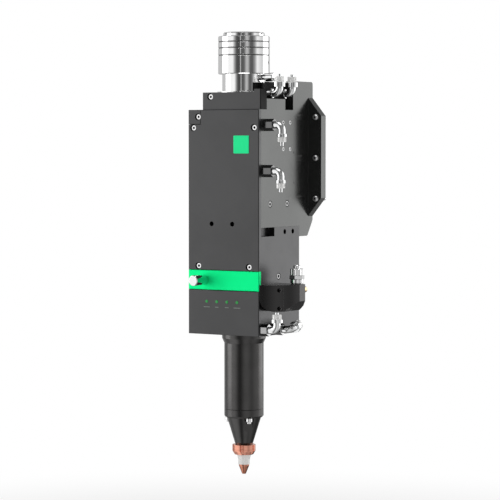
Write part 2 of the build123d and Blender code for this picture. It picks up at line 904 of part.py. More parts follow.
def carriage_seat_z():
    # The retaining ring lies flush with the carriage's top and presses on the lens
    stack = lens_stack(focusing_lens_r, focusing_lens_t, carriage_bore_r)
    return carriage_z() + carriage_height - lens_retainer_t - stack


def focus_carriage():
    low = carriage_z()
    high = low + carriage_height
    half = carriage_bar_width / 2
    body = rod_z(carriage_ring_r, low, high)
    body += box(-half, half, carriage_bar_y, cavity_back - carriage_bar_gap, low, high)
    seat = carriage_seat_z()
    cuts = [
        rod_z(carriage_bore_r, low - past, high + past),
        rod_z(focusing_lens_r + turn_fit, seat, high + past),
        rod_z(lead_screw_r + turn_fit, low - past, high + past, y=motor_y),
    ]
    cuts += [rod_z(rod_r + turn_fit, low - past, high + past, x, rod_y) for x in (-rod_x, rod_x)]
    return cut_all(body, cuts)


def focusing_lens():
    return lens(focusing_lens_r, focusing_lens_t, carriage_bore_r, carriage_seat_z())


def lens_retainer():
    high = carriage_z() + carriage_height
    ring = rod_z(focusing_lens_r, high - lens_retainer_t, high)
    return ring - rod_z(carriage_bore_r, high - lens_retainer_t - past, high + past)


def manifold_z():
    return housing_z + manifold_rise


def manifold_channel_z():
    return manifold_z() + manifold_height / 2


def manifold_blank():
    # A bulging front that ends in a flat outer facet, with a chamfered lower outer edge
    low = manifold_z()
    out_x = side_x + manifold_reach
    start = (side_x, manifold_front)
    end = (out_x, manifold_front + manifold_depth)
    chord = hypot(manifold_reach, manifold_depth)
    middle = (
        side_x + manifold_reach / 2 + manifold_bulge * manifold_depth / chord,
        manifold_front + manifold_depth / 2 - manifold_bulge * manifold_reach / chord)
    facet_y = manifold_front + manifold_depth + manifold_facet
    cut = manifold_back - facet_y
    plan = ThreePointArc(start, middle, end) + Polyline(
        end, (out_x, facet_y), (out_x - cut, manifold_back), (side_x, manifold_back), start)
    body = extrude(Location((0, 0, low)) * make_face(plan), manifold_height, dir=(0, 0, 1))
    reach = manifold_low_chamfer + past
    corner = Polyline(
        (out_x + past, low - past), (out_x + past, low + reach), (out_x - reach, low - past), close=True)
    wedge = extrude(make_face(Plane.XZ * corner), housing_depth, dir=(0, -1, 0))
    return body - Location((0, rear_y, 0)) * wedge


def manifold_screw_places():
    x = side_x + manifold_screw_out
    low = manifold_z() + manifold_screw_low
    high = manifold_z() + manifold_height - manifold_screw_high
    return [(x, manifold_seam_y - small_head, z) for z in (low, high)]


def manifold_holes():
    hole = small_hole() + rod_z(small_head_r + turn_fit, 0, manifold_seam_depth)
    return [facing_front(hole, *place) for place in manifold_screw_places()]


def gas_manifold():
    low = manifold_z()
    top = low + manifold_height
    out_x = side_x + manifold_reach + past
    front = box(side_x - past, out_x, front_y - past, manifold_seam_y, low - past, top + past)
    z = manifold_channel_z()
    cuts = [
        front,
        rod_z(manifold_channel_r, z, top + past, gas_fitting_x, gas_fitting_y),
        rod_x_axis(manifold_channel_r, side_x - past, gas_fitting_x, gas_fitting_y, z),
        rod_z(stud_thread_r + turn_fit, top - stud_thread - seat_gap, top + past, gas_fitting_x,
              gas_fitting_y),
        rod_y_axis(plug_thread_r + turn_fit, manifold_back - plug_thread - seat_gap, manifold_back + past,
                   plug_x, low + plug_rise),
    ]
    return cut_all(manifold_blank(), cuts + manifold_holes())


def manifold_cover():
    low = manifold_z()
    r = manifold_front_round
    out_x = side_x + manifold_reach + past
    front = box(side_x, out_x, front_y - past, manifold_seam_y, low, low + manifold_height)
    corner = box(side_x - past, side_x + r, front_y - past, rear_y, low - past, low + r)
    corner -= rod_y_axis(r, front_y - past, rear_y + past, side_x + r, low + r)
    return cut_all(manifold_blank() & front, [corner] + manifold_holes())


def manifold_screws():
    return Compound(children=[facing_front(small_screw(), *place) for place in manifold_screw_places()])


def gas_fitting():
    base = manifold_z() + manifold_height
    collar = base + gas_collar_rise
    top = base + gas_fitting_length
    points = [
        (gas_bore_r, base - stud_thread), (stud_thread_r, base - stud_thread), (stud_thread_r, base),
        (gas_fitting_r, base), (gas_fitting_r, collar), (gas_collar_r, collar),
        (gas_collar_r, collar + gas_collar), (gas_fitting_r, collar + gas_collar),
        (gas_fitting_r, top - gas_mouth), (gas_mouth_r, top - gas_mouth), (gas_mouth_r, top),
        (gas_bore_r, top),
    ]
    return Location((gas_fitting_x, gas_fitting_y, 0)) * turned(points)


def brass_plug():
    z = manifold_z() + plug_rise
    head = rod_y_axis(plug_r, manifold_back, manifold_back + plug_length, plug_x, z)
    head = chamfer(head.edges().sort_by(Axis.Y)[-1], plug_edge)
    return head + rod_y_axis(plug_thread_r, manifold_back - plug_thread, manifold_back, plug_x, z)


def drawer_front():
    plate = rounded_plate(-side_x, side_x, drawer_z, drawer_z + drawer_height, front_y, body_front)
    return plate - knob_hole()


def tray_low():
    return drawer_mid - tray_height / 2


def drawer_tray():
    half = tray_width / 2
    body = box(-half, half, body_front, tray_back, tray_low(), tray_low() + tray_height)
    rear = [e for e in body.edges().filter_by(Axis.Z) if e.center().Y > 0]
    body = fillet(rear, tray_edge)
    seat = tray_low() + seal_lift
    body -= rod_z(window_clear_r, tray_low() - past, seat + past)
    return body - rod_z(window_r + turn_fit, seat, tray_low() + tray_height + past)


def window_seal():
    seat = tray_low() + seal_lift
    return rod_z(window_r, seat, seat + seal_t) - rod_z(window_clear_r, seat - past, seat + seal_t + past)


def window_glass():
    seat = tray_low() + seal_lift + seal_t
    return rod_z(window_r, seat, seat + window_t)


def window_retainer():
    seat = tray_low() + seal_lift + seal_t + window_t
    top = seat + retainer_t
    ring = rod_z(window_r, seat, top) - rod_z(window_clear_r, seat - past, top + past)
    slot = box(-window_r - past, window_r + past, -retainer_slot / 2, retainer_slot / 2,
               seat + retainer_t / 2, top + past)
    return ring - slot


def drawer_knob():
    back = front_y - seat_gap
    head = rod_y_axis(knob_r, back - knob_length, back, knob_x, drawer_mid)
    head = fillet(head.edges().filter_by(GeomType.CIRCLE).sort_by(Axis.Y)[0], knob_edge)
    return head + rod_y_axis(knob_shank_r, back, body_front + knob_shank_depth, knob_x, drawer_mid)


def stand(solid, fitting):
    # Turns a fitting's piece about its stud, which runs along +X, and puts it on its wall
    place = Location((fitting["wall"], fitting["y"], fitting["z"]))
    return place * Rotation(fitting["turn"], 0, 0) * solid


def hex_length(fitting):
    return fitting["reach"] - elbow_bend_r - fitting["leg"]["entry"] - seat_gap


def elbow_stud(name):
    fitting = fittings[name]
    length = hex_length(fitting)
    across = hex_across.get(name, hex_standard)
    hexagon = RegularPolygon(across / 2, 6, major_radius=False)
    body = Rotation(0, 90, 0) * extrude(hexagon, length)
    body += rod_x_axis(stud_thread_r, -stud_thread, 0, 0, 0)
    body += rod_x_axis(spigot_r, length, length + seat_gap + spigot_length, 0, 0)
    return Location((fitting["wall"], fitting["y"], fitting["z"])) * body


def elbow_studs():
    return Compound(children=[elbow_stud(name) for name in fittings])


def elbow(name):
    fitting = fittings[name]
    leg = fitting["leg"]
    reach = fitting["reach"]
    bend_x = reach - elbow_bend_r
    entry_x = bend_x - leg["entry"]
    body = rod_x_axis(elbow_r, entry_x, bend_x, 0, 0)
    section = Location((bend_x, 0, 0), (0, 90, 0)) * Circle(elbow_r)
    body += revolve(section, Axis((bend_x, 0, elbow_bend_r), (0, -1, 0)), 90)
    body += rod_z(elbow_r, elbow_bend_r, leg["collar_at"], reach)
    body += rod_z(leg["collar_r"], leg["collar_at"], leg["nut_at"], reach)
    body += rod_z(nut_core_r, leg["nut_at"], leg["tip_at"], reach)
    body += rod_z(leg["tip_r"], leg["tip_at"], leg["end"], reach)
    body -= rod_x_axis(spigot_r + turn_fit, entry_x - past, entry_x + spigot_length + seat_gap, 0, 0)
    body -= rod_z(leg_bore_r, elbow_bend_r, leg["end"] + past, reach)
    return stand(body, fitting)


def fluted_nut(name):
    fitting = fittings[name]
    leg = fitting["leg"]
    body = rod_z(leg["nut_r"], leg["nut_at"], leg["tip_at"])
    body -= rod_z(nut_core_r + turn_fit, leg["nut_at"] - past, leg["tip_at"] + past)
    flute_x = leg["nut_r"] + nut_flute_r - nut_flute_depth
    flute = rod_z(nut_flute_r, leg["nut_at"] - past, leg["tip_at"] + past, x=flute_x)
    for k in range(nut_flutes):
        body -= Rotation(0, 0, k * 360 / nut_flutes) * flute
    return stand(Location((fitting["reach"], 0, 0)) * body, fitting)


makers = [
    nozzle, ceramic_ring, lock_ring, sensor_cone, sensor_connectors, tube_ring, nozzle_tube, nozzle_collar,
    main_housing, front_cover, corner_block, lower_panel, rear_cover, indicator_lights, top_block,
    land_plate, water_block, mounting_bracket, flange_bolts, cover_screws, side_screws, receiver_body,
    receiver_port, receiver_window, locking_sleeve, collimator_barrel, collimating_lens,
    collimator_retainer, focus_motor, guide_rods, screw_bearing, lead_screw, screw_coupling,
    focus_carriage, focusing_lens, lens_retainer, gas_manifold, manifold_cover, manifold_screws,
    gas_fitting, brass_plug, drawer_front, drawer_tray, window_seal, window_glass, window_retainer,
    drawer_knob, elbow_studs,
]

os.makedirs("parts", exist_ok=True)
for make in makers:
    export_step(make(), f"parts/{make.__name__}.step")
for name in fittings:
    export_step(elbow(name), f"parts/elbow_{name}.step")
    export_step(fluted_nut(name), f"parts/nut_{name}.step")
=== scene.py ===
# Looks, studio and small details of the laser cutting head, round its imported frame
import json
from math import atan2, cos, radians, sin, tau

import bmesh
import bpy
from mathutils import Matrix, Vector


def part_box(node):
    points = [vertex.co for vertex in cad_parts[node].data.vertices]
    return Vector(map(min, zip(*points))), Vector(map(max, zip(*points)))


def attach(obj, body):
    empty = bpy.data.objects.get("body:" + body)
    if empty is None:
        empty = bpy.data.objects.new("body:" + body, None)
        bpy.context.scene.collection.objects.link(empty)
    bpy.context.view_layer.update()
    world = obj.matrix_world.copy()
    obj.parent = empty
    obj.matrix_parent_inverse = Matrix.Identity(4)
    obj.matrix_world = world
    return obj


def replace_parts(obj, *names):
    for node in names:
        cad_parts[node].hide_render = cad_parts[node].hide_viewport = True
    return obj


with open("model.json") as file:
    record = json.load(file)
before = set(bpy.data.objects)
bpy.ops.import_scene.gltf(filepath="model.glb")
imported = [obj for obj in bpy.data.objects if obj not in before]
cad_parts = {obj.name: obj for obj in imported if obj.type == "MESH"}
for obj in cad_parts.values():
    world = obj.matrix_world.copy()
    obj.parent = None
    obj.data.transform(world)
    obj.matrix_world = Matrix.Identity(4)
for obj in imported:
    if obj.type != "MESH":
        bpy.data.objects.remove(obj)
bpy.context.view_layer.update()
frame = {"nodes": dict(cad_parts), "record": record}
nodes = frame["nodes"]
mm = 0.001


class Wire:
    # A shader socket that takes part in sums and products
    def __init__(self, shader, socket):
        self.shader = shader
        self.socket = socket

    def combine(self, operation, left, right):
        return self.shader.node("ShaderNodeMath", {"operation": operation}, {0: left, 1: right})

    def __add__(self, other):
        return self.combine("ADD", self, other)

    def __radd__(self, other):
        return self.combine("ADD", other, self)

    def __sub__(self, other):
        return self.combine("SUBTRACT", self, other)

    def __rsub__(self, other):
        return self.combine("SUBTRACT", other, self)

    def __mul__(self, other):
        return self.combine("MULTIPLY", self, other)

    def __rmul__(self, other):
        return self.combine("MULTIPLY", other, self)

    def __truediv__(self, other):
        return self.combine("DIVIDE", self, other)

    def __pow__(self, other):
        return self.combine("POWER", self, other)

    def highest(self, other):
        return self.combine("MAXIMUM", self, other)

    def clamped(self):
        return self.combine("MINIMUM", self.highest(0.0), 1.0)

    def ramp(self, low, high):
        # 0 below low, 1 above high, smooth between them
        settings = {"interpolation_type": "SMOOTHSTEP"}
        inputs = {"Value": self, "From Min": low, "From Max": high, "To Min": 0.0, "To Max": 1.0}
        return self.shader.node("ShaderNodeMapRange", settings, inputs)

    def beside(self, name):
        # Another output of the same node
        return Wire(self.shader, self.socket.node.outputs[name])


class Shader:
    # A material or world while it is being wired
    def __init__(self, holder):
        self.holder = holder
        holder.use_nodes = True
        self.tree = holder.node_tree
        self.tree.nodes.clear()
        self.place = None

    def node(self, kind, settings=None, inputs=None, output=0):
        # Makes a node, fills its sockets and hands back one of its outputs
        made = self.tree.nodes.new(kind)
        for key, value in (settings or {}).items():
            if key == "stops":
                self.setStops(made.color_ramp.elements, value)
            else:
                setattr(made, key, value)
        for key, value in (inputs or {}).items():
            if isinstance(value, Wire):
                self.tree.links.new(value.socket, made.inputs[key])
            else:
                made.inputs[key].default_value = value
        return Wire(self, made.outputs[output]) if made.outputs else None

    def setStops(self, elements, stops):
        while len(elements) < len(stops):
            elements.new(0.5)
        for element, (position, tone) in zip(elements, stops):
            element.position = position
            element.color = (tone, tone, tone, 1.0)

    def spot(self):
        # Where on the piece, in metres
        if self.place is None:
            self.place = self.node("ShaderNodeTexCoord", output="Object")
        return self.place

    def axes(self):
        x = self.node("ShaderNodeSeparateXYZ", None, {"Vector": self.spot()}, "X")
        return x, x.beside("Y"), x.beside("Z")

    def noise(self, scale, detail=2.0, rough=0.5, vector=None):
        inputs = {"Vector": vector or self.spot(), "Scale": scale, "Detail": detail, "Roughness": rough}
        return self.node("ShaderNodeTexNoise", None, inputs)

    def lines(self, along, scale, detail):
        # Noise that changes in one direction only, as a turning tool leaves it
        inputs = {"W": along, "Scale": scale, "Detail": detail}
        return self.node("ShaderNodeTexNoise", {"noise_dimensions": "1D"}, inputs)

    def stretched(self, scale):
        settings = {"vector_type": "POINT"}
        return self.node("ShaderNodeMapping", settings, {"Vector": self.spot(), "Scale": scale})

    def mixed(self, factor, first, second):
        # Sockets 6 and 7 hold the two colours, and output 2 is the colour between them
        settings = {"data_type": "RGBA", "blend_type": "MIX"}
        return self.node("ShaderNodeMix", settings, {0: factor, 6: first, 7: second}, 2)

    def softEdge(self, radius):
        return self.node("ShaderNodeBevel", {"samples": 4}, {"Radius": radius})

    def edgeMask(self, edge):
        # 0 on flat faces, about 1 on outer and inner edges
        gain = 6.0
        plain = self.node("ShaderNodeNewGeometry", output="Normal")
        dot = self.node("ShaderNodeVectorMath", {"operation": "DOT_PRODUCT"}, {0: edge, 1: plain}, "Value")
        return ((1.0 - dot) * gain).clamped()

    def bump(self, height, strength, distance, normal=None):
        inputs = {"Height": height, "Strength": strength, "Distance": distance}
        if normal is not None:
            inputs["Normal"] = normal
        return self.node("ShaderNodeBump", None, inputs)

    def finish(self, inputs):
        surface = self.node("ShaderNodeBsdfPrincipled", None, inputs)
        self.node("ShaderNodeOutputMaterial", None, {"Surface": surface})
        return self.holder

    def metal(self, body, gloss, normal, metallic=1.0):
        return self.finish({"Base Color": body, "Metallic": metallic, "Roughness": gloss, "Normal": normal})


def material(name):
    return Shader(bpy.data.materials.new(name))


def colour(red, green, blue):
    return (red, green, blue, 1.0)


def tinted(base, factor):
    return colour(*[min(1.0, part * factor) for part in base[:3]])


def hypotenuse(x, y):
    return (x ** 2.0 + y ** 2.0) ** 0.5


def anodised(name, base, roughness, metallic=1.0, grain=0.06, cloud=0.06):
    # Bead-blasted aluminium: fine grain, faint clouds, and edges lightened by wear and a painted highlight
    shader = material(name)
    soft = shader.softEdge(0.4 * mm)
    fine = shader.noise(scale=2600.0, detail=3.0, rough=0.6)
    coarse = shader.noise(scale=900.0)
    clouds = shader.noise(scale=14.0, detail=4.0, rough=0.55)
    smudges = shader.noise(scale=45.0, detail=5.0, rough=0.6).ramp(0.48, 0.75)
    # Lighter along outer and inner edges: a painted highlight, broken up by noise like wear
    worn = shader.edgeMask(soft) * (0.35 + 0.65 * shader.noise(scale=160.0, detail=3.0))
    body = shader.mixed(clouds.ramp(0.3, 0.7), tinted(base, 1.0 - cloud), tinted(base, 1.0 + cloud))
    body = shader.mixed(fine * 0.2, body, tinted(base, 1.3))
    body = shader.mixed(worn * 0.3, body, tinted(base, 2.2))
    gloss = roughness - 0.05 + 0.06 * coarse + 0.04 * smudges
    normal = shader.bump(fine + 0.5 * coarse, strength=grain, distance=0.05 * mm, normal=soft)
    return shader.metal(body, gloss, normal, metallic)


def polished(name, base, roughness, metallic=1.0):
    # Plated or polished metal: faint wipe marks, clean edges
    shader = material(name)
    soft = shader.softEdge(0.35 * mm)
    wipes = shader.noise(scale=60.0, detail=6.0, rough=0.7, vector=shader.stretched((1.0, 1.0, 9.0)))
    haze = shader.noise(scale=30.0, detail=3.0)
    body = shader.mixed(haze.ramp(0.35, 0.75), base, tinted(base, 0.93))
    gloss = roughness + 0.05 * wipes.ramp(0.45, 0.8) + 0.03 * haze
    normal = shader.bump(wipes, strength=0.05, distance=0.02 * mm, normal=soft)
    return shader.metal(body, gloss, normal, metallic)


def turnedMetal(name, base, roughness, pitch, groove):
    # Rings left by a lathe round the beam's axis, on walls and on end faces
    shader = material(name)
    soft = shader.softEdge(0.3 * mm)
    x, y, z = shader.axes()
    along = z + hypotenuse(x, y)
    rings = shader.lines(along, scale=1.0 / (pitch * mm), detail=3.0)
    bands = shader.lines(along, scale=0.16 / (pitch * mm), detail=2.0)
    clouds = shader.noise(scale=70.0, detail=4.0)
    body = shader.mixed(clouds.ramp(0.3, 0.75), base, tinted(base, 0.85))
    body = shader.mixed(rings.ramp(0.4, 0.8) * 0.3, body, tinted(base, 1.25))
    # Painted highlight: lighter along outer and inner edges
    body = shader.mixed(shader.edgeMask(soft) * 0.35, body, tinted(base, 1.5))
    gloss = roughness + 0.07 * bands + 0.05 * clouds
    normal = shader.bump(rings, strength=groove, distance=0.05 * mm, normal=soft)
    return shader.metal(body, gloss, normal)


def steel(name, base, roughness):
    # Bright machine screws, rods and shafts
    shader = material(name)
    soft = shader.softEdge(0.3 * mm)
    fine = shader.noise(scale=1800.0, detail=3.0)
    spots = shader.noise(scale=220.0, detail=4.0)
    body = shader.mixed(spots.ramp(0.35, 0.8), base, tinted(base, 0.78))
    normal = shader.bump(fine, strength=0.08, distance=0.03 * mm, normal=soft)
    return shader.metal(body, roughness + 0.10 * spots, normal)


# The edge colour paints a highlight along the copper's edges
copperFacts = {"bright": colour(0.96, 0.43, 0.31), "dark": colour(0.50, 0.20, 0.13),
               "edge": colour(0.99, 0.60, 0.46), "nearTipFades": (2 * mm, 24 * mm)}


def copperAlloy(facts):
    # Bright copper with darker bands and patches, and darker and rougher towards its lower tip
    shader = material("turnedCopper")
    soft = shader.softEdge(0.3 * mm)
    x, y, z = shader.axes()
    radius = hypotenuse(x, y)
    rings = shader.lines(z + radius, scale=2600.0, detail=3.0)
    bands = shader.lines(z + 0.4 * radius, scale=420.0, detail=3.0)
    patches = shader.noise(scale=150.0, detail=5.0, rough=0.6)
    nearTip = 1.0 - z.ramp(*facts["nearTipFades"])
    darkening = (bands.ramp(0.45, 0.7) * 0.3 + nearTip * 0.9 + patches.ramp(0.5, 0.8) * 0.3).clamped()
    body = shader.mixed(darkening, facts["bright"], facts["dark"])
    # Painted highlight: lighter along outer and inner edges
    body = shader.mixed(shader.edgeMask(soft) * 0.4, body, facts["edge"])
    gloss = 0.07 + 0.06 * patches + 0.08 * nearTip
    normal = shader.bump(rings, strength=0.06, distance=0.05 * mm, normal=soft)
    return shader.metal(body, gloss, normal)


# Painted tones of the studs, standing in for their highlights and dark reflections, and the heights above
# the nozzle's tip between which they change
studShadeFacts = {"foot": colour(0.42, 0.42, 0.42), "middle": colour(0.16, 0.16, 0.16),
             "top": colour(0.88, 0.88, 0.88), "footToMiddle": (200 * mm, 300 * mm),
             "middleToTop": (456 * mm, 462 * mm)}


def studPaintedTones(facts):
    # Hexagonal stud ends with painted light: a painted highlight above the housing, painted shade beside its
    # upper part, paler at its foot
    shader = material("studPaintedTones")
    soft = shader.softEdge(0.3 * mm)
    z = shader.axes()[2]
    tarnish = shader.noise(scale=120.0, detail=4.0)
    # Painted shade: darker from the foot up to beside the housing's upper part
    dark = shader.mixed(z.ramp(*facts["footToMiddle"]), facts["foot"], facts["middle"])
    # Painted highlight above the housing
    body = shader.mixed(z.ramp(*facts["middleToTop"]), dark, facts["top"])
    normal = shader.bump(tarnish, strength=0.04, distance=0.03 * mm, normal=soft)
    return shader.metal(body, 0.12 + 0.10 * tarnish, normal)


def ceramic():
    # Glazed white with faint stains and dark specks
    shader = material("glazedCeramic")
    soft = shader.softEdge(0.4 * mm)
    speck = shader.noise(scale=420.0, detail=4.0, rough=0.6)
    stain = shader.noise(scale=60.0, detail=3.0)
    body = shader.mixed(stain.ramp(0.5, 0.85) * 0.5, colour(0.84, 0.83, 0.81), colour(0.64, 0.62, 0.57))
    body = shader.mixed(speck.ramp(0.66, 0.74) * 0.4, body, colour(0.55, 0.50, 0.44))
    normal = shader.bump(speck, strength=0.06, distance=0.05 * mm, normal=soft)
    return shader.finish({"Base Color": body, "Roughness": 0.14 + 0.10 * stain, "Normal": normal,
                          "Coat Roughness": 0.03, "Coat Weight": 1.0})


def opticalGlass():
    # Lenses and windows with a faint blue coating
    shader = material("coatedGlass")
    film = shader.noise(scale=35.0)
    body = shader.mixed(film.ramp(0.3, 0.7), colour(0.93, 0.98, 1.0), colour(0.88, 0.93, 1.0))
    return shader.finish({"Base Color": body, "Roughness": 0.01 + 0.01 * film, "IOR": 1.46,
                          "Transmission Weight": 1.0})


def softRubber():
    shader = material("sealRubber")
    grain = shader.noise(scale=1500.0, detail=4.0, rough=0.6)
    dust = shader.noise(scale=90.0, detail=4.0)
    body = shader.mixed(dust.ramp(0.5, 0.8) * 0.5, colour(0.016, 0.016, 0.017), colour(0.05, 0.05, 0.05))
    normal = shader.bump(grain, strength=0.15, distance=0.05 * mm)
    return shader.finish({"Base Color": body, "Roughness": 0.55 + 0.15 * dust, "Normal": normal})


def lightLens():
    # Clear green lens over a faint lamp
    shader = material("lightLens")
    depth = shader.noise(scale=500.0, detail=3.0)
    body = shader.mixed(depth, colour(0.003, 0.10, 0.015), colour(0.008, 0.18, 0.03))
    glow = shader.mixed(depth.ramp(0.3, 0.7), colour(0.0, 0.45, 0.06), colour(0.02, 0.70, 0.12))
    return shader.finish({"Base Color": body, "Roughness": 0.10 + 0.10 * depth, "Emission Color": glow,
                          "Emission Strength": 0.22, "Coat Weight": 0.3})


def printedMark(name, base):
    shader = material(name)
    worn = shader.noise(scale=700.0, detail=4.0)
    body = shader.mixed(worn.ramp(0.45, 0.8), base, tinted(base, 0.7))
    return shader.finish({"Base Color": body, "Roughness": 0.5 + 0.15 * worn})


def mattBlack(name, base, roughness):
    # Dull black coating that mirrors almost nothing
    shader = material(name)
    fine = shader.noise(scale=1500.0, detail=3.0)
    dust = shader.noise(scale=60.0, detail=4.0)
    body = shader.mixed(dust.ramp(0.45, 0.8) * 0.5, base, tinted(base, 2.2))
    normal = shader.bump(fine, strength=0.08, distance=0.04 * mm, normal=shader.softEdge(0.3 * mm))
    return shader.finish({"Base Color": body, "Roughness": roughness + 0.1 * dust, "Normal": normal,
                          "Specular IOR Level": 0.12})


finishes = {
    "housing_grey": anodised("housingGrey", colour(0.079, 0.079, 0.080), 0.34),
    "bracket_grey": anodised("bracketGrey", colour(0.088, 0.090, 0.088), 0.24, metallic=0.9, grain=0.04),
    "block_black": anodised("blockBlack", colour(0.058, 0.057, 0.057), 0.28, grain=0.03),
    "deep_black": mattBlack("deepBlack", colour(0.006, 0.006, 0.006), 0.5),
    "tube_black": turnedMetal("tubeBlack", colour(0.090, 0.088, 0.087), 0.16, pitch=0.4, groove=0.015),
    "drawer_green": anodised("drawerGreen", colour(0.007, 1.0, 0.33), 0.60, cloud=0.02),
    "light_green": lightLens(),
    "cap_steel": steel("screwSteel", colour(0.98, 0.98, 0.98), 0.13),
    "polished_steel": polished("mirrorSteel", colour(0.93, 0.93, 0.93), 0.04),
    "fitting_chrome": polished("fittingChrome", colour(0.90, 0.91, 0.91), 0.10),
    "copper": copperAlloy(copperFacts),
    "brass": turnedMetal("plugBrass", colour(0.86, 0.66, 0.40), 0.22, pitch=0.5, groove=0.1),
    "ceramic_white": ceramic(),
    "inner_aluminium": turnedMetal("innerAluminium", colour(0.72, 0.72, 0.73), 0.28, pitch=0.4, groove=0.15),
    "motor_black": mattBlack("motorBlack", colour(0.015, 0.015, 0.016), 0.45),
    "lens_glass": opticalGlass(),
    "seal_rubber": softRubber(),
}
badgeGreen = anodised("badgeGreen", colour(0.026, 0.68, 0.26), 0.40, grain=0.05, cloud=0.03)
markPale = printedMark("markPale", colour(0.20, 0.23, 0.21))
dullSteel = steel("dullSteel", colour(0.42, 0.42, 0.42), 0.22)
satinNickel = polished("satinNickel", colour(0.93, 0.93, 0.92), 0.34, metallic=0.4)
# Dark steel for the painted shade in the sleeve's grooves
grooveShade = steel("grooveShade", colour(0.16, 0.16, 0.16), 0.25)

# Nodes whose finish differs from that of their slot
ownFinishes = {name: satinNickel for name in nodes if name.startswith("nut_")}
ownFinishes["side_screws"] = dullSteel
ownFinishes["flange_bolts"] = steel("boltSteel", colour(0.80, 0.80, 0.80), 0.30)
# The stud ends take painted highlights and painted shade by height
ownFinishes["elbow_studs"] = studPaintedTones(studShadeFacts)
print("materials ready:", len(finishes))

for part in frame["record"]["subparts"]:
    looks = nodes[part["node"]].data.materials
    looks.clear()
    looks.append(ownFinishes.get(part["node"], finishes[part["material_slot"]]))
print("frame dressed:", len(nodes), "nodes")


def asObject(name, mesh):
    # Turns a bmesh into an object at the origin
    data = bpy.data.meshes.new(name)
    mesh.to_mesh(data)
    mesh.free()
    made = bpy.data.objects.new(name, data)
    bpy.context.scene.collection.objects.link(made)
    return made


def newPiece(name, mesh, material, body):
    # Turns a bmesh into a finished piece that rides on its body
    bmesh.ops.recalc_face_normals(mesh, faces=mesh.faces)
    piece = asObject(name, mesh)
    piece.data.materials.append(material)
    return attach(piece, body)


def vertsOf(made):
    # The vertices that an extrusion has made
    return [item for item in made["geom"] if isinstance(item, bmesh.types.BMVert)]


def rounded(mesh, edges, offset, segments):
    bmesh.ops.bevel(mesh, geom=edges, offset=offset, offset_type="OFFSET", affect="EDGES",
                    segments=segments, profile=0.5, material=-1)


def plate(width, facts):
    # An upright plate with rounded corners; its front faces -Y and its back lies at Y 0
    thickness = facts["thickness"]
    mesh = bmesh.new()
    bmesh.ops.create_cube(mesh, size=1.0)
    bmesh.ops.scale(mesh, vec=(width, thickness, facts["height"]), verts=mesh.verts)
    bmesh.ops.translate(mesh, vec=(0, -thickness / 2, 0), verts=mesh.verts)
    corners = [e for e in mesh.edges if abs(e.verts[0].co.y - e.verts[1].co.y) > thickness / 2]
    rounded(mesh, corners, facts["corner"], segments=5)
    front = [e for e in mesh.edges if all(v.co.y < -thickness * 0.9 for v in e.verts)]
    rounded(mesh, front, facts["rim"], segments=2)
    return mesh


badgeFacts = {"centreX": 26.5 * mm, "belowTop": 43.0 * mm, "width": 22.4 * mm, "height": 22.0 * mm,
              "thickness": 0.4 * mm, "corner": 0.8 * mm, "rim": 0.12 * mm}


def makeBadge(facts):
    # A plain green square plate stuck to the front cover
    low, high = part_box("front_cover")
    mesh = plate(facts["width"], facts)
    place = (facts["centreX"], low.y, high.z - facts["belowTop"])
    bmesh.ops.translate(mesh, vec=place, verts=mesh.verts)
    return newPiece("badgePlate", mesh, badgeGreen, "head")


makeBadge(badgeFacts)

markFacts = {"firstX": -24.6 * mm, "pitch": 14.9 * mm, "aboveFoot": 34.2 * mm, "height": 0.9 * mm,
             "thickness": 0.08 * mm, "corner": 0.27 * mm, "rim": 0.024 * mm,
             "widths": (9.0 * mm, 5.0 * mm, 5.6 * mm, 10.0 * mm)}


def makeMarks(facts):
    # A short plain dash below each indicator light
    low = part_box("lower_panel")[0]
    for index, width in enumerate(facts["widths"]):
        mesh = plate(width, facts)
        place = (facts["firstX"] + index * facts["pitch"], low.y, low.z + facts["aboveFoot"])
        bmesh.ops.translate(mesh, vec=place, verts=mesh.verts)
        newPiece("lightMark" + str(index + 1), mesh, markPale, "head")


makeMarks(markFacts)
print("small plates done")


def readingOrder(box):
    # From the top down, then from left to right, then from front to back
    low = box[0]
    return [round(part / mm, 1) for part in (-low.z, low.x, low.y)]


def loosePieces(node):
    # The boxes of the separate solids that share a node, always in the same order
    weld = 0.001 * mm
    mesh = bmesh.new()
    mesh.from_mesh(node.data)
    bmesh.ops.remove_doubles(mesh, verts=mesh.verts, dist=weld)
    left = set(mesh.verts)
    boxes = []
    while left:
        group = [left.pop()]
        for vert in group:
            for edge in vert.link_edges:
                other = edge.other_vert(vert)
                if other in left:
                    left.remove(other)
                    group.append(other)
        places = [node.matrix_world @ vert.co for vert in group]
        low = Vector([min(place[axis] for place in places) for axis in range(3)])
        high = Vector([max(place[axis] for place in places) for axis in range(3)])
        boxes.append((low, high))
    mesh.free()
    return sorted(boxes, key=readingOrder)


def standing(place, normal, up):
    # Turns local Z to the normal and local Y to up
    right = Vector(up).cross(Vector(normal))
    turn = Matrix((right, Vector(up), Vector(normal))).transposed()
    return Matrix.Translation(place) @ turn.to_4x4()


def spun(mesh, place, direction, profile, steps):
    # Turns a closed outline of (along, radius) pairs about a direction
    axis = Vector(direction)
    out = axis.orthogonal().normalized()
    verts = [mesh.verts.new(Vector(place) + along * axis + radius * out) for along, radius in profile]
    edges = [mesh.edges.new(pair) for pair in zip(verts, verts[1:] + verts[:1])]
    bmesh.ops.spin(mesh, geom=verts + edges, cent=place, axis=axis, angle=tau, steps=steps, use_merge=True)
    return mesh


def tube(low, high, inner, outer):
    # The outline of a plain tube wall between two heights
    return [(low, inner), (low, outer), (high, outer), (high, inner)]


